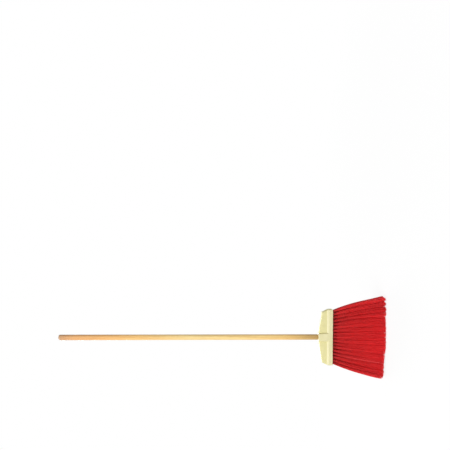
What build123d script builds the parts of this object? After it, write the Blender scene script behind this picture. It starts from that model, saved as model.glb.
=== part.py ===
from build123d import *
import os
from math import cos, pi, radians, sin, tan

# An upright commercial broom. A wooden handle screws into a moulded block, and three rows of bristle
# tufts fan out below it, each folded round a wire staple in a blind hole of its own.
# Millimetres. The tips rest on Z = 0, X runs along the block and the front row is on the -Y side.

os.makedirs("parts", exist_ok=True)

# Block
BLOCK_WIDTH = 254.0
BLOCK_DEPTH = 46.0
BLOCK_HEIGHT = 65.0
RIM_HEIGHT = 18.5          # upright band round the foot of the block
RIM_TOP_ROUND = 4.5
LEDGE_WIDTH = 6.8          # from the rim's face in to the upper wall
LEDGE_RISE = 6.5           # how far the ledge climbs on the way in
LEDGE_FILLET = 8.0
WALL_LEAN = 1.2            # how far the upper wall leans in by the top
END_RISE = 20.5            # upright part of each end
END_ROUND = 20.0
END_LEAN = 13.0            # how far an end leans in, up to its shoulder
SHOULDER_HEIGHT = 48.5
SHOULDER_ROUND = 6.0
ROOF_HEIGHT = 64.0
ROOF_FLAT = 30.0
ROOF_ROUND = 20.0
CORNER_ROUND = 4.0
LIP_ROUND = 3.5
BOSS_WIDTH = 37.0          # front of the boss that the handle screws into, at its foot
BOSS_FLARE = 3.5           # how far each flank runs out on its way back to the upper wall
BOSS_DRAFT = 3.0           # degrees
BOSS_CORNER = 3.0
BOSS_TOP_CHAMFER = 1.0

# Handle
HANDLE_DIAMETER = 25.0
HANDLE_LENGTH = 1200.0
HANDLE_TOP_ROUND = 9.0
HANDLE_FOOT_CHAMFER = 1.8
SPIGOT_DIAMETER = 19.0     # the threaded end, over its crests
SPIGOT_LENGTH = 28.0
SPIGOT_CHAMFER = 2.0
THREAD_CLEARANCE = 0.06    # on the radius
BORE_RUNOUT = 3.0          # bore past the end of the spigot
BORE_CHAMFER = 0.8

# Tuft holes, tufts and staples
LONG_ROW_TUFTS = 17
END_INSET = 9.0            # from the end of the block to the outermost hole
ROW_INSET = 10.0           # from the rim's face to the front and back rows
FAN_ANGLE = 20.0           # lean of the outermost tufts along the block, degrees
ROW_ANGLE = 3.5            # lean of the front and back rows, degrees
HOLE_DIAMETER = 9.0        # over its corners
HOLE_SIDES = 8
HOLE_DEPTH = 16.0
PLUG_CLEARANCE = 0.1       # on the radius of a tuft's bound root
PLUG_LENGTH = 12.0
STAPLE_WIDTH = 5.0
STAPLE_WIRE = 1.0
STAPLE_CROWN_GAP = 2.0     # from the floor of the hole to the staple's crown
STAPLE_BITE = 5.0          # how far the legs go into the block

# Bristles
BRISTLE_LENGTH = 243.0     # from the block to the tips, at the middle
TRIM_SAG = 10.0            # how much shorter the outermost tips are
LEVEL_CUT = 0.5            # depth of the level cut that the broom stands on
FAN_BOW = 32.8             # how far the outermost tufts bow back from their lean
STRAND_WIDTH = 2.7         # over its corners
STRAND_SIDES = 3
STRAND_TURN = 90.0         # degrees, so that one corner faces the back
STRAND_ROOT = 2.0          # length of a strand inside its bound root
STRAND_SPANS = 2
RING_STRANDS = 6           # strands round the middle one of a tuft
RING_RADIUS = 2.5
TIP_SPREAD_X = 3.4         # a tuft's tips against its root, along the block
TIP_SPREAD_Y = 4.05        # and across it

# Worked out
BLOCK_BOTTOM = BRISTLE_LENGTH
BLOCK_TOP = BLOCK_BOTTOM + BLOCK_HEIGHT
OUTER_X = BLOCK_WIDTH / 2 - END_INSET
OUTER_Y = BLOCK_DEPTH / 2 - ROW_INSET
TUFT_PITCH = 2 * OUTER_X / (LONG_ROW_TUFTS - 1)
FAN_SLOPE = tan(radians(FAN_ANGLE))
ROW_SLOPE = tan(radians(ROW_ANGLE))
PLUG_RADIUS = HOLE_DIAMETER / 2 - PLUG_CLEARANCE
ROWS = {
    "front": (-OUTER_Y, LONG_ROW_TUFTS),
    "middle": (0.0, LONG_ROW_TUFTS - 1),
    "back": (OUTER_Y, LONG_ROW_TUFTS),
}


def row_places(y, count):
    """Where a row of holes opens in the block's underside, from -X to +X."""
    first = -(count - 1) / 2
    return [((first + index) * TUFT_PITCH, y) for index in range(count)]


TUFTS = {
    f"tuft_{row}_{index:02d}": place
    for row, (y, count) in ROWS.items()
    for index, place in enumerate(row_places(y, count), 1)
}


def fan_x(x, drop):
    """X of the middle of the tuft rooted at x, at a drop below the block."""
    bow = FAN_BOW * (max(drop, 0) / BRISTLE_LENGTH) ** 2
    return x + x / OUTER_X * (FAN_SLOPE * drop - bow)


def fan_y(y, drop):
    """Y of the middle of the tuft rooted at y, at a drop below the block."""
    return y + y / OUTER_Y * ROW_SLOPE * drop


TIP_REACH = fan_x(OUTER_X, BRISTLE_LENGTH) + RING_RADIUS * TIP_SPREAD_X


def seat_plane(x, y):
    """Floor of the hole that opens at x, y. The plane faces out of the hole, along the tuft."""
    lean = Vector(x / OUTER_X * FAN_SLOPE, y / OUTER_Y * ROW_SLOPE, -1).normalized()
    floor = Vector(x, y, BLOCK_BOTTOM) - lean * HOLE_DEPTH
    return Plane(origin=floor, x_dir=lean.cross(Vector(0, 1, 0)), z_dir=lean)


def staple_plane(x, y):
    """Plane of the staple in the same hole, whose local Y points up along its legs."""
    seat = seat_plane(x, y)
    return Plane(origin=seat.origin, x_dir=seat.x_dir, z_dir=seat.y_dir)


def both_halves(right):
    """Corners of a closed outline from those of its right half, bottom to top."""
    return right + [(-across, up) for across, up in reversed(right)]


def strand(x, y, offset_x, offset_y):
    """One strand of the tuft rooted at x, y, from its place in the bound root to the trim line."""
    root = PLUG_LENGTH - HOLE_DEPTH - STRAND_ROOT
    tip_x = fan_x(x, BRISTLE_LENGTH) + offset_x * TIP_SPREAD_X
    rise = max(TRIM_SAG * (tip_x / TIP_REACH) ** 2 - LEVEL_CUT, 0)
    tip = BRISTLE_LENGTH - rise
    with BuildPart() as bristle:
        for step in range(STRAND_SPANS + 1):
            share = step / STRAND_SPANS
            drop = root + (tip - root) * share
            middle_x = fan_x(x, drop) + offset_x * (1 + (TIP_SPREAD_X - 1) * share)
            middle_y = fan_y(y, drop) + offset_y * (1 + (TIP_SPREAD_Y - 1) * share)
            with BuildSketch(Plane.XY.offset(BLOCK_BOTTOM - drop)):
                with Locations((middle_x, middle_y)):
                    RegularPolygon(STRAND_WIDTH / 2, STRAND_SIDES, rotation=STRAND_TURN)
        loft(ruled=True)
    return bristle.part


# Boss on the block: its front is flush with the rim, and its drafted flanks run back into the upper walls
boss_base = BLOCK_BOTTOM + RIM_HEIGHT - RIM_TOP_ROUND
upper_wall = BLOCK_DEPTH / 2 - LEDGE_WIDTH
boss_points = [
    (BOSS_WIDTH / 2, -BLOCK_DEPTH / 2),
    (BOSS_WIDTH / 2 + BOSS_FLARE, WALL_LEAN - upper_wall),
    (BOSS_WIDTH / 2 + BOSS_FLARE, upper_wall - WALL_LEAN),
    (BOSS_WIDTH / 2, BLOCK_DEPTH / 2),
]
with BuildPart() as boss:
    with BuildSketch(Plane.XY.offset(boss_base)):
        Polygon(both_halves(boss_points), align=None)
    extrude(amount=BLOCK_TOP - boss_base)
    flanks = boss.faces().filter_by(Axis.Z, reverse=True).filter_by(Axis.Y, reverse=True)
    draft(flanks, Plane.XY.offset(boss_base), BOSS_DRAFT)
    front_corners = boss.faces().filter_by(Axis.Y).edges().filter_by(Axis.X, reverse=True)
    fillet(front_corners, BOSS_CORNER)
    chamfer(boss.edges().group_by(Axis.Z)[-1], BOSS_TOP_CHAMFER)

# Block: a front outline and a cross-section intersected, then the boss, the bore and the tuft holes
block_front = Plane(origin=(0, 0, BLOCK_BOTTOM), x_dir=(1, 0, 0), z_dir=(0, -1, 0))
block_end = Plane(origin=(0, 0, BLOCK_BOTTOM), x_dir=(0, 1, 0), z_dir=(1, 0, 0))
front_points = [
    (BLOCK_WIDTH / 2, 0),
    (BLOCK_WIDTH / 2, END_RISE),
    (BLOCK_WIDTH / 2 - END_LEAN, SHOULDER_HEIGHT),
    (ROOF_FLAT / 2, ROOF_HEIGHT),
]
front_rounds = [0, END_ROUND, SHOULDER_ROUND, ROOF_ROUND, ROOF_ROUND, SHOULDER_ROUND, END_ROUND, 0]
section_points = [
    (BLOCK_DEPTH / 2, 0),
    (BLOCK_DEPTH / 2, RIM_HEIGHT),
    (upper_wall, RIM_HEIGHT + LEDGE_RISE),
    (upper_wall - WALL_LEAN, BLOCK_HEIGHT),
]
section_rounds = [0, RIM_TOP_ROUND, LEDGE_FILLET, 0, 0, LEDGE_FILLET, RIM_TOP_ROUND, 0]
seats = [seat_plane(x, y) for x, y in TUFTS.values()]

with BuildPart() as block:
    with BuildSketch(block_front):
        with BuildLine():
            FilletPolyline(both_halves(front_points), radius=front_rounds, close=True)
        make_face()
    extrude(amount=BLOCK_DEPTH / 2, both=True)
    with BuildSketch(block_end):
        with BuildLine():
            FilletPolyline(both_halves(section_points), radius=section_rounds, close=True)
        make_face()
    extrude(amount=BLOCK_WIDTH / 2, both=True, mode=Mode.INTERSECT)
    outline = block.edges().filter_by(Axis.X, reverse=True).filter_by(Axis.Y, reverse=True)
    fillet(outline, CORNER_ROUND)
    fillet(block.edges().group_by(Axis.Z)[0], LIP_ROUND)
    add(boss.part)
    with BuildSketch(Plane.XY.offset(BLOCK_TOP)):
        Circle(SPIGOT_DIAMETER / 2 + THREAD_CLEARANCE)
    extrude(amount=-(SPIGOT_LENGTH + BORE_RUNOUT), mode=Mode.SUBTRACT)
    bore_mouth = block.edges().filter_by(GeomType.CIRCLE).group_by(Axis.Z)[-1]
    chamfer(bore_mouth, BORE_CHAMFER)
    with BuildSketch(*seats):
        RegularPolygon(HOLE_DIAMETER / 2, HOLE_SIDES)
    extrude(amount=HOLE_DEPTH + HOLE_DIAMETER, mode=Mode.SUBTRACT)
    with BuildSketch(*seats):
        with GridLocations(STAPLE_WIDTH - STAPLE_WIRE, 0, 2, 1):
            Rectangle(STAPLE_WIRE, STAPLE_WIRE)
    extrude(amount=-STAPLE_BITE, mode=Mode.SUBTRACT)
block.part.label = "block"
export_step(block.part, "parts/block.step")

# Handle: turned in one piece, its foot shoulder resting on the boss
spigot_end = BLOCK_TOP - SPIGOT_LENGTH
handle_top = spigot_end + HANDLE_LENGTH
spigot_radius = SPIGOT_DIAMETER / 2
handle_radius = HANDLE_DIAMETER / 2
handle_points = [
    (0, spigot_end),
    (spigot_radius - SPIGOT_CHAMFER, spigot_end),
    (spigot_radius, spigot_end + SPIGOT_CHAMFER),
    (spigot_radius, BLOCK_TOP),
    (handle_radius - HANDLE_FOOT_CHAMFER, BLOCK_TOP),
    (handle_radius, BLOCK_TOP + HANDLE_FOOT_CHAMFER),
    (handle_radius, handle_top),
    (0, handle_top),
]
with BuildPart() as handle:
    with BuildSketch(Plane.XZ):
        with BuildLine():
            FilletPolyline(handle_points, radius=[0, 0, 0, 0, 0, 0, HANDLE_TOP_ROUND, 0], close=True)
        make_face()
    revolve(axis=Axis.Z)
handle.part.label = "handle"
export_step(handle.part, "parts/handle.step")

# Staples: one in each hole, a U with its crown in the tuft and its legs pressed into the block
leg_outside = STAPLE_WIDTH / 2
leg_inside = leg_outside - STAPLE_WIRE
staple_right = [
    (leg_outside, -STAPLE_CROWN_GAP - STAPLE_WIRE),
    (leg_outside, STAPLE_BITE),
    (leg_inside, STAPLE_BITE),
    (leg_inside, -STAPLE_CROWN_GAP),
]
staple_points = both_halves(staple_right)
with BuildPart() as staples:
    with BuildSketch(*[staple_plane(x, y) for x, y in TUFTS.values()]):
        Polygon(staple_points, align=None)
    extrude(amount=STAPLE_WIRE / 2, both=True)
staples.part.label = "tuft_staples"
export_step(staples.part, "parts/tuft_staples.step")

# Tufts: strands fused to the bound root that the staple holds on the floor of the hole
ring_angles = [2 * pi * index / RING_STRANDS for index in range(RING_STRANDS)]
strand_offsets = [(0.0, 0.0)]
strand_offsets += [(RING_RADIUS * cos(angle), RING_RADIUS * sin(angle)) for angle in ring_angles]
for name, (x, y) in TUFTS.items():
    strands = [strand(x, y, *offset) for offset in strand_offsets]
    with BuildPart() as tuft:
        with BuildSketch(seat_plane(x, y)):
            RegularPolygon(PLUG_RADIUS, HOLE_SIDES)
        extrude(amount=PLUG_LENGTH)
        with BuildSketch(staple_plane(x, y)):
            Polygon(staple_points, align=None)
        extrude(amount=STAPLE_WIRE / 2, both=True, mode=Mode.SUBTRACT)
        add(strands)
    tuft.part.label = name
    export_step(tuft.part, f"parts/{name}.step")
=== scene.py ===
import math

import bpy
import numpy as np
from mathutils import Matrix, Vector


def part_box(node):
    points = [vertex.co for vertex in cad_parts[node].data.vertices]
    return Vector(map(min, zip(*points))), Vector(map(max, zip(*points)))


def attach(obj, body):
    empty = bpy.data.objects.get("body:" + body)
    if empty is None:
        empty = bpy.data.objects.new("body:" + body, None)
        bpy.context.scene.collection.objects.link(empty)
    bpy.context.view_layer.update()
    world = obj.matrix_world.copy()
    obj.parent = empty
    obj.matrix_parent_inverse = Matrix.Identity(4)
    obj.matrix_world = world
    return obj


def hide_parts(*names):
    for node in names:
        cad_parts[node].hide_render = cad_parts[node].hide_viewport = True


# The looks of an upright broom: its bristles, its materials, and a white studio.
# Metres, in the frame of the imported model: tips on Z = 0, X along the block, front row on the -Y side.

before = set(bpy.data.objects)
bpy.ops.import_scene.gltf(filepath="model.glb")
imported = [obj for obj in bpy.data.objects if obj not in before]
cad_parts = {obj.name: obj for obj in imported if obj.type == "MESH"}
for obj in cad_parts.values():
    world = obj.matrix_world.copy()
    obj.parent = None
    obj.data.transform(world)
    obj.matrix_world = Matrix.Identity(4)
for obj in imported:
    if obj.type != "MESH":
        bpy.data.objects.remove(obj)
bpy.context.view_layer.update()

# Camera: the broom lies across the photograph, handle to the left, so the picture is rolled by a quarter turn
IMAGE_SIZE = 450                 # pixels
CAMERA_PLACE = (0.6, -4.5, 1.0)
CAMERA_YAW = -1.175              # degrees from +Y towards +X
CAMERA_PITCH = -3.371            # degrees above the horizon
CAMERA_ROLL = 0.272              # degrees, on top of the quarter turn
FOCAL_PIXELS = 998.5
SENSOR = 36.0                    # millimetres

# Heights of the solids
BLOCK_BOTTOM, BLOCK_TOP = (float(corner[2]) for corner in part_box("block"))
HANDLE_LOW, HANDLE_HIGH = (float(corner[2]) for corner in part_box("handle"))

# Fan of tufts, near the one the solids have
OUTER_X = 0.118                  # root of the last tuft in a long row
OUTER_Y = 0.013                  # roots of the front and back rows
LONG_ROW = 17                    # tufts
TUFT_PITCH = 2 * OUTER_X / (LONG_ROW - 1)
ROWS = {"front": (-OUTER_Y, LONG_ROW), "middle": (0.0, LONG_ROW - 1), "back": (OUTER_Y, LONG_ROW)}
LAST_TUFTS = OUTER_X - 0.75 * TUFT_PITCH   # only the last tufts of the three rows are rooted further out
FAN_SLOPE = math.tan(math.radians(19.5))   # of the last tufts where they leave the block
ROW_SLOPE = math.tan(math.radians(2.8))    # of the front and back rows
FAN_BOW = 0.0293                 # how far the last tufts curve in again by the floor
FAN_SKEW = 0.00475               # more bow than that on the +X side and less on the -X side
FAN_FLARE = 0.0083               # how far the last tufts on the +X side turn out again at their tips
FLARE_POWER = 8                  # keeps that to the last tufts and to their tips
TIP_REACH = 0.182                # about half the fan's width at the tips

# Cut of the tips: three sizes in a row are at -X, in mid fan and at +X
TRIM_RISE = 0.0006               # of the longest bristles over the floor
TRIM_SAG = 0.0005                # how much shorter the fan is at its +X end
TRIM_DROP = 0.0090               # and at its -X end
TRIM_DROP_SPAN = (0.10, 0.78)    # shares of the -X half where that drop starts and ends
MIDDLE_RISE = (0.002, 0.002, 0.006)        # how much shorter the middle row is
SCALLOP = (0.0020, 0.0020, 0.010)          # how much shorter a tuft's outer bristles are than its middle
SCALLOP_RANGE = (0.3, 1.7)       # factors between which that varies from tuft to tuft
SCALLOP_POWER = 3                # the higher, the flatter the tuft's middle
END_ROUND = (0.013, 0.0, 0.004)  # how much shorter the outer side of the front and back rows' last tufts is
RAGGED = (0.0008, 0.0006, 0.0030)          # the most that a bristle, and a whole tuft, falls short by chance

# Bristles
BRISTLES = 91                    # in a tuft
BRISTLE_RADIUS = 0.00046
RADIUS_RANGE = (0.92, 1.08)      # factors between which that varies from bristle to bristle
SIDES = 5
SEGMENTS = 11
END_SEGMENT = 0.004              # share of the length: a short last one keeps the shading even up to the cut
ROOT_DEPTH = 0.0135              # how far up the hole a bristle starts
ROOT_RADIUS = 0.0024             # of the bundle in its hole
DISC_OFFSET = (0.27, 0.11)       # in bristle pitches: leaves no two bristles equally far from the middle
TIP_RADIUS_X = (0.0128, 0.0162, 0.0114)    # of the bundle at its tips: at -X, in mid fan and at +X
TIP_RADIUS_Y = 0.0135
SPREAD_START = 0.005             # how far below the block a bundle begins to spread
SPREAD_POWERS = (0.28, 0.70)     # how soon a bristle spreads: at once, or nearer its tip
LAST_SPREAD_POWERS = (0.6, 1.0)  # the same in a row's last tufts
TUFT_WANDER = 0.0014             # standard deviation of a whole tuft's place by its tips
BRISTLE_WANDER = 0.00102         # and of a bristle's tip in its tuft
STRAY_WANDER = 0.0027            # and of a stray bristle's
STRAY_SHARE = 0.03               # of the bristles
BEND_POWER = 1.7                 # the higher, the nearer its tip a bristle wanders

# Tones and map of the bristles
TONE = 0.5                       # of the bristles on average, from 0, dark, to 1, pale
TONE_SPREAD = 0.16               # standard deviation of a bristle in its tuft
TUFT_TONE_SPREAD = 0.075         # and of a whole tuft
UV_MARGIN = 0.04                 # share of a bristle's strip that its side faces leave free all round
CAP_GAP = 0.02                   # how far past the side faces, in that margin, its two end faces lie
CAP_SIZE = (0.3, 0.01)           # half width and half height of an end face in the strip

# Painted shade and highlights of the block
SHELTERED_DEPTH = 0.0165         # the block's upper walls are this far from its middle plane, and yellower with painted shade than the rim and the boss from here out, which are paler; the shoulder between has a painted highlight
PROUD_DEPTH = 0.0205             # than the rim and the boss from here out, which are rubbed paler
FLANK_FACING = (0.55, 0.85)      # faces that look this much along X, the flanks and ends, are yellower too, with painted shade

# Studio
WHITE = (1.0, 1.0, 1.0)
FLOOR_SIZE = 4.0
FLOOR_COLOUR = (0.9, 0.9, 0.9)
FLOOR_ROUGHNESS = 0.9
FLOOR_WHITE = 0.90               # share of the floor's look that is plain white, the rest keeps the shadow
FLOOR_FADE = 0.4                 # from here out the share rises, to 1 at the floor's edge
FILL = 0.35                      # strength of the surround's light
LAMP_AIM = (0.0, 0.0, 0.55)
LAMP_SIZE = 2.0                  # diameter
LAMPS = {                        # place, and power in watts
    "key": ((-1.47, -3.15, 4.15), 199.0),
    "back": ((-0.9, 3.6, 2.0), 80.0),
}

MIX_FACTOR, MIX_FIRST, MIX_SECOND, MIX_RESULT = 0, 6, 7, 2   # numbers of a colour Mix node's sockets

random = np.random.default_rng(seed=17)


def look_at_broom():
    """Camera in front of the broom, with the handle's top end at the left of the picture."""
    data = bpy.data.cameras.new("camera")
    data.sensor_width = SENSOR
    data.lens = FOCAL_PIXELS * SENSOR / IMAGE_SIZE
    camera = bpy.data.objects.new("camera", data)
    bpy.context.scene.collection.objects.link(camera)
    yaw, pitch, roll = (math.radians(angle) for angle in (CAMERA_YAW, CAMERA_PITCH, CAMERA_ROLL))
    level = Vector((math.sin(yaw), math.cos(yaw), 0))
    ahead = level * math.cos(pitch) + Vector((0, 0, math.sin(pitch)))
    down = Vector((0, 0, -1))
    right = (down - ahead * down.dot(ahead)).normalized()
    up = right.cross(ahead)
    across = right * math.cos(roll) + up * math.sin(roll)
    upright = up * math.cos(roll) - right * math.sin(roll)
    turned = Matrix((across, upright, -ahead)).transposed()
    camera.matrix_world = Matrix.Translation(CAMERA_PLACE) @ turned.to_4x4()
    bpy.context.scene.camera = camera


def new_material(name):
    """A material with its node tree and its shader."""
    material = bpy.data.materials.new(name)
    material.use_nodes = True
    tree = material.node_tree
    return material, tree, tree.nodes["Principled BSDF"]


def add_node(tree, kind, values=None, **settings):
    """A node with its settings and the values of its inputs."""
    node = tree.nodes.new(kind)
    for name, value in settings.items():
        setattr(node, name, value)
    for name, value in (values or {}).items():
        node.inputs[name].default_value = value
    return node


def axes(tree, kind="Object"):
    """X, Y and Z of the object's own coordinates in metres, or of another kind, such as its normals."""
    place = add_node(tree, "ShaderNodeTexCoord")
    split = add_node(tree, "ShaderNodeSeparateXYZ")
    tree.links.new(place.outputs[kind], split.inputs["Vector"])
    return split.outputs


def calculated(tree, operation, *factors):
    """What a Math node makes of one or two factors."""
    node = add_node(tree, "ShaderNodeMath", operation=operation)
    for factor, socket in zip(factors, node.inputs):
        tree.links.new(factor, socket)
    return node.outputs["Value"]


def noise(tree, scale, detail=4.0, roughness=0.55, distortion=0.0):
    """Noise whose size is given in features a metre along X, Y and Z."""
    place = add_node(tree, "ShaderNodeTexCoord")
    mapping = add_node(tree, "ShaderNodeMapping", {"Scale": scale})
    tree.links.new(place.outputs["Object"], mapping.inputs["Vector"])
    node = add_node(tree, "ShaderNodeTexNoise",
                    {"Scale": 1.0, "Detail": detail, "Roughness": roughness, "Distortion": distortion})
    tree.links.new(mapping.outputs["Vector"], node.inputs["Vector"])
    return node.outputs["Fac"]


def ramp(tree, factor, stops):
    """Colours along a factor, from (position, colour) pairs."""
    node = add_node(tree, "ShaderNodeValToRGB")
    elements = node.color_ramp.elements
    while len(elements) < len(stops):
        elements.new(1.0)
    for element, (position, colour) in zip(elements, stops):
        element.position = position
        element.color = (*colour, 1.0)
    tree.links.new(factor, node.inputs["Fac"])
    return node.outputs["Color"]


def span(tree, factor, low, high, start=0.0, end=1.0):
    """A factor from start to end brought to the range from low to high."""
    node = add_node(tree, "ShaderNodeMapRange",
                    {"From Min": start, "From Max": end, "To Min": low, "To Max": high})
    tree.links.new(factor, node.inputs["Value"])
    return node.outputs["Result"]


def tinted(tree, colour, tint, share=1.0):
    """A colour multiplied by a tint. How much of the tint counts is a value or a socket."""
    node = add_node(tree, "ShaderNodeMix", data_type="RGBA", blend_type="MULTIPLY")
    tree.links.new(colour, node.inputs[MIX_FIRST])
    tree.links.new(tint, node.inputs[MIX_SECOND])
    if isinstance(share, bpy.types.NodeSocket):
        tree.links.new(share, node.inputs[MIX_FACTOR])
    else:
        node.inputs[MIX_FACTOR].default_value = share
    return node.outputs[MIX_RESULT]


def bump(tree, shader, height, strength, distance):
    """Fine relief from a height."""
    node = add_node(tree, "ShaderNodeBump", {"Strength": strength, "Distance": distance})
    tree.links.new(height, node.inputs["Height"])
    tree.links.new(node.outputs["Normal"], shader.inputs["Normal"])


def block_plastic():
    """Cream moulded plastic: a faint flow pattern, a fine matt grain, walls and flanks yellower with painted
    shade, and painted highlights on the shoulder and edges.
    """
    material, tree, shader = new_material("block_plastic")
    place = axes(tree)
    flow = noise(tree, (14.0, 40.0, 46.0), detail=3.0, distortion=0.6)
    colour = ramp(tree, flow, [
        (0.25, (0.755, 0.705, 0.398)),
        (0.55, (0.780, 0.730, 0.424)),
        (0.8, (0.800, 0.755, 0.461)),
    ])
    depth = calculated(tree, "ABSOLUTE", place["Y"])
    proud = span(tree, depth, 0.0, 1.0, SHELTERED_DEPTH, PROUD_DEPTH)
    # Painted shade and highlight: the sheltered upper walls yellower, the sloped shoulder paler and bluer,
    # like a reflection of the light
    recess_shade_and_sheen = ramp(tree, proud, [
        (0.0, (0.97, 0.965, 0.84)),
        (0.12, (0.985, 0.98, 1.08)),
        (0.85, (0.985, 0.98, 1.08)),
        (1.0, WHITE),
    ])
    colour = tinted(tree, colour, recess_shade_and_sheen)
    # Painted shade: faces that look along X, the boss flanks and the ends, tinted yellower
    sideways = calculated(tree, "ABSOLUTE", axes(tree, "Normal")["X"])
    flank = span(tree, sideways, 0.0, 1.0, *FLANK_FACING)
    flank_shade = ramp(tree, flank, [(0.0, WHITE), (1.0, (0.95, 0.94, 0.80))])
    colour = tinted(tree, colour, flank_shade)
    # Painted highlights on the rim's bottom edge and the block's top edge, and a painted shade band across
    # the rim
    height = span(tree, place["Z"], 0.0, 1.0, BLOCK_BOTTOM, BLOCK_TOP)
    edge_highlights_and_shade = ramp(tree, height, [
        (0.0, (1.03, 1.02, 1.05)),
        (0.07, (1.01, 1.0, 1.01)),
        (0.138, (0.93, 0.95, 0.93)),
        (0.21, (0.975, 0.975, 0.98)),
        (0.27, WHITE),
        (0.88, (1.015, 1.015, 1.0)),
        (0.94, (1.04, 1.04, 1.03)),
        (1.0, (1.15, 1.12, 1.22)),
    ])
    colour = tinted(tree, colour, edge_highlights_and_shade)
    grain = noise(tree, (1500.0, 1500.0, 1500.0), detail=2.0)
    colour = tinted(tree, colour, span(tree, grain, 0.97, 1.03, 0.3, 0.7))
    tree.links.new(colour, shader.inputs["Base Color"])
    tree.links.new(span(tree, flow, 0.36, 0.5), shader.inputs["Roughness"])
    bump(tree, shader, grain, strength=0.18, distance=0.0002)
    return material


def handle_wood():
    """Pale lacquered hardwood with grain along the handle, warmer towards its ends and darker there with
    painted shade.
    """
    material, tree, shader = new_material("handle_wood")
    along = span(tree, axes(tree)["Z"], 0.0, 1.0, HANDLE_LOW, HANDLE_HIGH)
    # Painted shade: the wood darker where it meets the block and on its domed top end
    colour = ramp(tree, along, [
        (0.0, (0.41, 0.26, 0.09)),
        (0.03, (0.56, 0.365, 0.133)),
        (0.12, (0.82, 0.535, 0.195)),
        (0.165, (0.935, 0.64, 0.25)),
        (0.507, (0.98, 0.745, 0.343)),
        (0.713, (0.985, 0.62, 0.243)),
        (0.844, (0.935, 0.53, 0.21)),
        (0.94, (0.87, 0.478, 0.205)),
        (0.988, (0.69, 0.39, 0.195)),
        (0.995, (0.60, 0.37, 0.20)),
        (1.0, (0.40, 0.24, 0.155)),
    ])
    figure = noise(tree, (130.0, 130.0, 2.2), detail=5.0, distortion=0.8)
    streaks = ramp(tree, figure, [
        (0.3, (0.86, 0.82, 0.77)),
        (0.5, WHITE),
        (0.75, (1.03, 1.05, 1.06)),
    ])
    grain = noise(tree, (420.0, 420.0, 4.0), detail=4.0, roughness=0.6, distortion=0.4)
    bands = ramp(tree, grain, [
        (0.32, (0.80, 0.72, 0.62)),
        (0.5, WHITE),
        (0.7, (1.02, 1.07, 1.10)),
    ])
    pores = noise(tree, (1800.0, 1800.0, 26.0), detail=3.0)
    lines = ramp(tree, pores, [(0.34, (0.66, 0.56, 0.46)), (0.43, WHITE)])
    colour = tinted(tree, colour, streaks)
    colour = tinted(tree, colour, bands)
    colour = tinted(tree, colour, lines, share=0.8)
    tree.links.new(colour, shader.inputs["Base Color"])
    tree.links.new(span(tree, pores, 0.46, 0.34, 0.3, 0.7), shader.inputs["Roughness"])
    shader.inputs["Specular IOR Level"].default_value = 0.35
    shader.inputs["Coat Weight"].default_value = 0.05
    shader.inputs["Coat Roughness"].default_value = 0.25
    bump(tree, shader, pores, strength=0.25, distance=0.0002)
    return material


def bristle_plastic():
    """Red filament: a tone for each bristle, fine drawn lines, painted shade that darkens the roots and the
    fan's ends, and painted light towards the tips.
    """
    material, tree, shader = new_material("bristle_plastic")
    place = axes(tree)
    tone = add_node(tree, "ShaderNodeAttribute", attribute_name="tone")
    colour = ramp(tree, tone.outputs["Fac"], [
        (0.0, (0.86, 0.016, 0.018)),
        (0.45, (0.95, 0.021, 0.024)),
        (0.9, (0.97, 0.025, 0.030)),
        (1.0, (0.96, 0.13, 0.12)),
    ])
    # Painted shade and light: darker at the roots, in the block's shadow and between the strands, lighter
    # towards the tips
    along = span(tree, place["Z"], 1.0, 0.0, 0.0, BLOCK_BOTTOM)
    painted_shade_along = ramp(tree, along, [
        (0.0, (0.57, 0.76, 0.74)),
        (0.05, (0.615, 0.82, 0.78)),
        (0.1, (0.765, 0.92, 0.88)),
        (0.3, (0.90, 1.02, 1.0)),
        (0.65, (1.02, 1.08, 1.12)),
        (1.0, (1.09, 1.2, 1.35)),
    ])
    colour = tinted(tree, colour, painted_shade_along)
    # Painted shade: the fan darker towards its ends and lightest in its middle, as if lit from the middle
    half_width = span(tree, place["Z"], TIP_REACH, OUTER_X, 0.0, BLOCK_BOTTOM)
    across = span(tree, calculated(tree, "DIVIDE", place["X"], half_width), 0.0, 1.0, -1.0, 1.0)
    ends = ramp(tree, across, [
        (0.0, (0.84, 1.0, 1.0)),
        (0.07, (0.94, 1.0, 1.0)),
        (0.17, (0.925, 1.0, 1.0)),
        (0.31, (0.99, 1.0, 1.0)),
        (0.5, WHITE),
        (0.65, (0.985, 1.0, 1.0)),
        (0.78, (0.95, 1.0, 1.0)),
        (0.87, (0.88, 1.0, 1.0)),
        (0.95, (0.865, 1.0, 1.0)),
        (1.0, (0.98, 1.0, 1.0)),
    ])
    colour = tinted(tree, colour, ends, share=along)
    drawn = noise(tree, (2600.0, 2600.0, 60.0), detail=2.0)
    colour = tinted(tree, colour, span(tree, drawn, 0.93, 1.02, 0.3, 0.7))
    tree.links.new(colour, shader.inputs["Base Color"])
    tree.links.new(span(tree, drawn, 0.3, 0.45), shader.inputs["Roughness"])
    shader.inputs["Specular IOR Level"].default_value = 0.4
    bump(tree, shader, drawn, strength=0.12, distance=0.0001)
    return material


def staple_wire():
    """Drawn steel wire with fine lines along it."""
    material, tree, shader = new_material("staple_wire")
    lines = noise(tree, (3000.0, 3000.0, 300.0), detail=3.0)
    colour = ramp(tree, lines, [(0.3, (0.42, 0.42, 0.43)), (0.7, (0.66, 0.66, 0.66))])
    tree.links.new(colour, shader.inputs["Base Color"])
    tree.links.new(span(tree, lines, 0.25, 0.45), shader.inputs["Roughness"])
    shader.inputs["Metallic"].default_value = 1.0
    bump(tree, shader, lines, strength=0.2, distance=0.00005)
    return material


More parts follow.
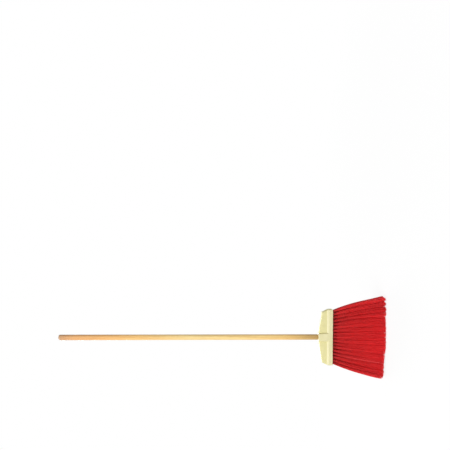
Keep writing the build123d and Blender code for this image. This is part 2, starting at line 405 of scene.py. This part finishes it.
def packed_disc(count):
    """Places of bristles in a round bundle of radius 1, close-packed, as two columns."""
    grid = np.arange(-count, count + 1)
    across, along = np.meshgrid(grid, grid)
    points = np.stack([across + along / 2, along * math.sqrt(3) / 2], -1).reshape(-1, 2)
    points = points + DISC_OFFSET
    points = points[np.argsort((points ** 2).sum(1), kind="stable")][:count]
    return points / np.sqrt((points ** 2).sum(1)).max()


DISC = packed_disc(BRISTLES)
STEPS = np.append(np.linspace(0, 1, SEGMENTS)[:-1], (1 - END_SEGMENT, 1))


def fan(x, y, drop):
    """Middle of the tuft rooted at x, y, at drops below the block."""
    out = x / OUTER_X
    share = np.maximum(drop, 0) / BLOCK_BOTTOM
    lean = FAN_SLOPE * drop - (FAN_BOW + FAN_SKEW * out) * share ** 2
    if out > 0:
        lean = lean + FAN_FLARE * out ** FLARE_POWER * share ** FLARE_POWER
    return x + out * lean, y + y / OUTER_Y * ROW_SLOPE * drop


def across_fan(x, sizes):
    """A size for the tuft rooted at x, from its sizes at the fan's -X end, middle and +X end."""
    return float(np.interp(x / OUTER_X, (-1, 0, 1), sizes))


def trim(reach):
    """How far above the floor a bristle is cut, by its tip's place between the fan's ends at -1 and 1."""
    start, end = TRIM_DROP_SPAN
    share = np.clip((-reach - start) / (end - start), 0, 1)
    return TRIM_RISE + TRIM_SAG * np.maximum(reach, 0) ** 2 + TRIM_DROP * share ** 2 * (3 - 2 * share)


def tip_heights(x, y, tip_x, aside):
    """How far above the floor a tuft's bristles end, by their tips and by where they are in the tuft."""
    scallop = across_fan(x, SCALLOP) * random.uniform(*SCALLOP_RANGE)
    rise = trim(tip_x / TIP_REACH) + scallop * abs(aside) ** SCALLOP_POWER
    ragged = across_fan(x, RAGGED)
    rise = rise + random.uniform(0, ragged, BRISTLES) + random.uniform(0, ragged)
    if y == 0:
        rise = rise + across_fan(x, MIDDLE_RISE)
    elif abs(x) > LAST_TUFTS:
        outward = 0.5 + aside * np.sign(x) / 2
        rise = rise + across_fan(x, END_ROUND) * outward ** 2
    return rise


def bristle_lines(x, y):
    """Centre lines of a tuft's bristles, as an array of bristle, step and coordinate."""
    turn = random.uniform(0, 2 * math.pi)
    spin = np.array([[math.cos(turn), -math.sin(turn)], [math.sin(turn), math.cos(turn)]])
    offset = DISC @ spin
    tip_radius = across_fan(x, TIP_RADIUS_X)
    tip_x = fan(x, y, BLOCK_BOTTOM)[0] + offset[:, 0] * tip_radius
    length = BLOCK_BOTTOM - tip_heights(x, y, tip_x, offset[:, 0])
    drop = -ROOT_DEPTH + (length[:, None] + ROOT_DEPTH) * STEPS
    begun = np.clip((drop - SPREAD_START) / (BLOCK_BOTTOM - SPREAD_START), 0, 1)
    powers = LAST_SPREAD_POWERS if abs(x) > LAST_TUFTS else SPREAD_POWERS
    spread = begun ** random.uniform(*powers, (BRISTLES, 1))
    widen_x = ROOT_RADIUS + (tip_radius - ROOT_RADIUS) * spread
    widen_y = ROOT_RADIUS + (TIP_RADIUS_Y - ROOT_RADIUS) * spread
    stray = random.random(BRISTLES) < STRAY_SHARE
    wander = np.where(stray, STRAY_WANDER, BRISTLE_WANDER)[:, None] * random.normal(0, 1, (BRISTLES, 2))
    wander = wander + random.normal(0, TUFT_WANDER, 2)
    bend = np.clip(drop / BLOCK_BOTTOM, 0, 1) ** BEND_POWER
    middle_x, middle_y = fan(x, y, drop)
    place = np.empty((BRISTLES, SEGMENTS + 1, 3))
    place[:, :, 0] = middle_x + offset[:, :1] * widen_x + wander[:, :1] * bend
    place[:, :, 1] = middle_y + offset[:, 1:] * widen_y + wander[:, 1:] * bend
    place[:, :, 2] = BLOCK_BOTTOM - drop
    return place


def tube_faces():
    """Corner numbers and map places of one bristle's faces: its sides, then its two ends."""
    faces, places = [], []
    for step in range(SEGMENTS):
        for side in range(SIDES):
            after = (side + 1) % SIDES
            low, high = step * SIDES, (step + 1) * SIDES
            faces.append((low + side, low + after, high + after, high + side))
            left, right = side / SIDES, (side + 1) / SIDES
            bottom, top = STEPS[step], STEPS[step + 1]
            places.append([(left, bottom), (right, bottom), (right, top), (left, top)])
    tip = SEGMENTS * SIDES
    faces.append(tuple(reversed(range(SIDES))))
    faces.append(tuple(range(tip, tip + SIDES)))
    angles = [2 * math.pi * side / SIDES for side in range(SIDES)]
    width, height = CAP_SIZE
    for middle, order in ((-CAP_GAP, reversed(angles)), (1 + CAP_GAP, angles)):
        places.append([(0.5 + width * math.cos(angle), middle + height * math.sin(angle)) for angle in order])
    return faces, places


FACES, FACE_PLACES = tube_faces()


def strip_map():
    """Map places of a tuft's bristles, with a strip for each."""
    spots = UV_MARGIN + (1 - 2 * UV_MARGIN) * np.array([spot for face in FACE_PLACES for spot in face])
    across = (np.arange(BRISTLES)[:, None] + spots[:, 0]) / BRISTLES
    along = np.tile(spots[:, 1], (BRISTLES, 1))
    return np.stack([across, along], -1).astype(np.float32).ravel()


STRIPS = strip_map()


def bristle_mesh(name, lines):
    """Closed round bristles along centre lines, with a tone for each and a map in strips."""
    heading = np.gradient(lines, axis=1)
    heading /= np.linalg.norm(heading, axis=2, keepdims=True)
    side = np.cross(heading, (0.0, 1.0, 0.0))
    side /= np.linalg.norm(side, axis=2, keepdims=True)
    other = np.cross(heading, side)
    turn = 2 * math.pi * np.arange(SIDES) / SIDES
    ring = np.cos(turn)[:, None] * side[:, :, None] + np.sin(turn)[:, None] * other[:, :, None]
    radius = BRISTLE_RADIUS * random.uniform(*RADIUS_RANGE, BRISTLES)[:, None, None, None]
    points = (lines[:, :, None] + radius * ring).reshape(-1, 3)
    count = (SEGMENTS + 1) * SIDES
    faces = []
    for first in range(0, count * BRISTLES, count):
        faces.extend(tuple(first + corner for corner in face) for face in FACES)
    mesh = bpy.data.meshes.new(name)
    mesh.from_pydata(points.tolist(), [], faces)
    tones = random.normal(TONE, TONE_SPREAD, BRISTLES) + random.normal(0, TUFT_TONE_SPREAD)
    tone = mesh.attributes.new("tone", "FLOAT", "POINT")
    tone.data.foreach_set("value", np.repeat(np.clip(tones, 0, 1), count).astype(np.float32))
    mesh.uv_layers.new(name="OFBake").data.foreach_set("uv", STRIPS)
    smooth = [len(face) == 4 for face in FACES] * BRISTLES
    mesh.polygons.foreach_set("use_smooth", smooth)
    mesh.validate()
    return mesh


def add_bristles(material):
    """One piece for each tuft, in place of its solid."""
    for row, (y, count) in ROWS.items():
        for index in range(count):
            x = (index - (count - 1) / 2) * TUFT_PITCH
            name = f"{row}_{index + 1:02d}"
            mesh = bristle_mesh(f"bristles_{name}", bristle_lines(x, y))
            mesh.materials.append(material)
            piece = bpy.data.objects.new(f"bristles_{name}", mesh)
            bpy.context.scene.collection.objects.link(piece)
            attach(piece, "head")
            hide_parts(f"tuft_{name}")


def paint(node, material):
    """A CAD node's one material."""
    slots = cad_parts[node].data.materials
    slots.clear()
    slots.append(material)


def white_ray(tree):
    """1 for rays that see the background as white: from the camera, and in reflections and glass."""
    path = add_node(tree, "ShaderNodeLightPath")
    seen = calculated(tree, "MAXIMUM", path.outputs["Is Camera Ray"], path.outputs["Is Glossy Ray"])
    return calculated(tree, "MAXIMUM", seen, path.outputs["Is Transmission Ray"])


def lay_floor():
    """A pale floor that looks nearly white and keeps the broom's shadow."""
    half = FLOOR_SIZE / 2
    corners = [(-half, -half, 0), (half, -half, 0), (half, half, 0), (-half, half, 0)]
    mesh = bpy.data.meshes.new("floor")
    mesh.from_pydata(corners, [], [range(len(corners))])
    floor = bpy.data.objects.new("floor", mesh)
    bpy.context.scene.collection.objects.link(floor)
    material, tree, shader = new_material("floor")
    shader.inputs["Base Color"].default_value = (*FLOOR_COLOUR, 1.0)
    shader.inputs["Roughness"].default_value = FLOOR_ROUGHNESS
    plain = add_node(tree, "ShaderNodeEmission", {"Color": (*WHITE, 1.0), "Strength": 1.0})
    place = add_node(tree, "ShaderNodeTexCoord")
    away = add_node(tree, "ShaderNodeVectorMath", operation="LENGTH")
    tree.links.new(place.outputs["Object"], away.inputs["Vector"])
    paleness = span(tree, away.outputs["Value"], FLOOR_WHITE, 1.0, FLOOR_FADE, half)
    share = calculated(tree, "MULTIPLY", white_ray(tree), paleness)
    mixed = add_node(tree, "ShaderNodeMixShader")
    for source, socket in zip((share, shader.outputs["BSDF"], plain.outputs["Emission"]), mixed.inputs):
        tree.links.new(source, socket)
    tree.links.new(mixed.outputs["Shader"], tree.nodes["Material Output"].inputs["Surface"])
    mesh.materials.append(material)


def add_surround():
    """A surround that looks white and gives a weaker, even light."""
    world = bpy.data.worlds.new("surround")
    bpy.context.scene.world = world
    world.use_nodes = True
    tree = world.node_tree
    sky = tree.nodes["Background"]
    sky.inputs["Color"].default_value = (*WHITE, 1.0)
    tree.links.new(span(tree, white_ray(tree), FILL, 1.0), sky.inputs["Strength"])


def hang_lamps():
    """A soft lamp from the front and a weaker one from behind."""
    for name, (place, power) in LAMPS.items():
        data = bpy.data.lights.new(name, "AREA")
        data.shape = "DISK"
        data.size = LAMP_SIZE
        data.energy = power
        lamp = bpy.data.objects.new(name, data)
        lamp.location = place
        lamp.rotation_euler = (Vector(LAMP_AIM) - Vector(place)).to_track_quat("-Z", "Y").to_euler()
        bpy.context.scene.collection.objects.link(lamp)


look_at_broom()
paint("block", block_plastic())
paint("handle", handle_wood())
paint("tuft_staples", staple_wire())
add_bristles(bristle_plastic())
lay_floor()
add_surround()
hang_lamps()
bpy.context.scene.view_settings.view_transform = "Standard"
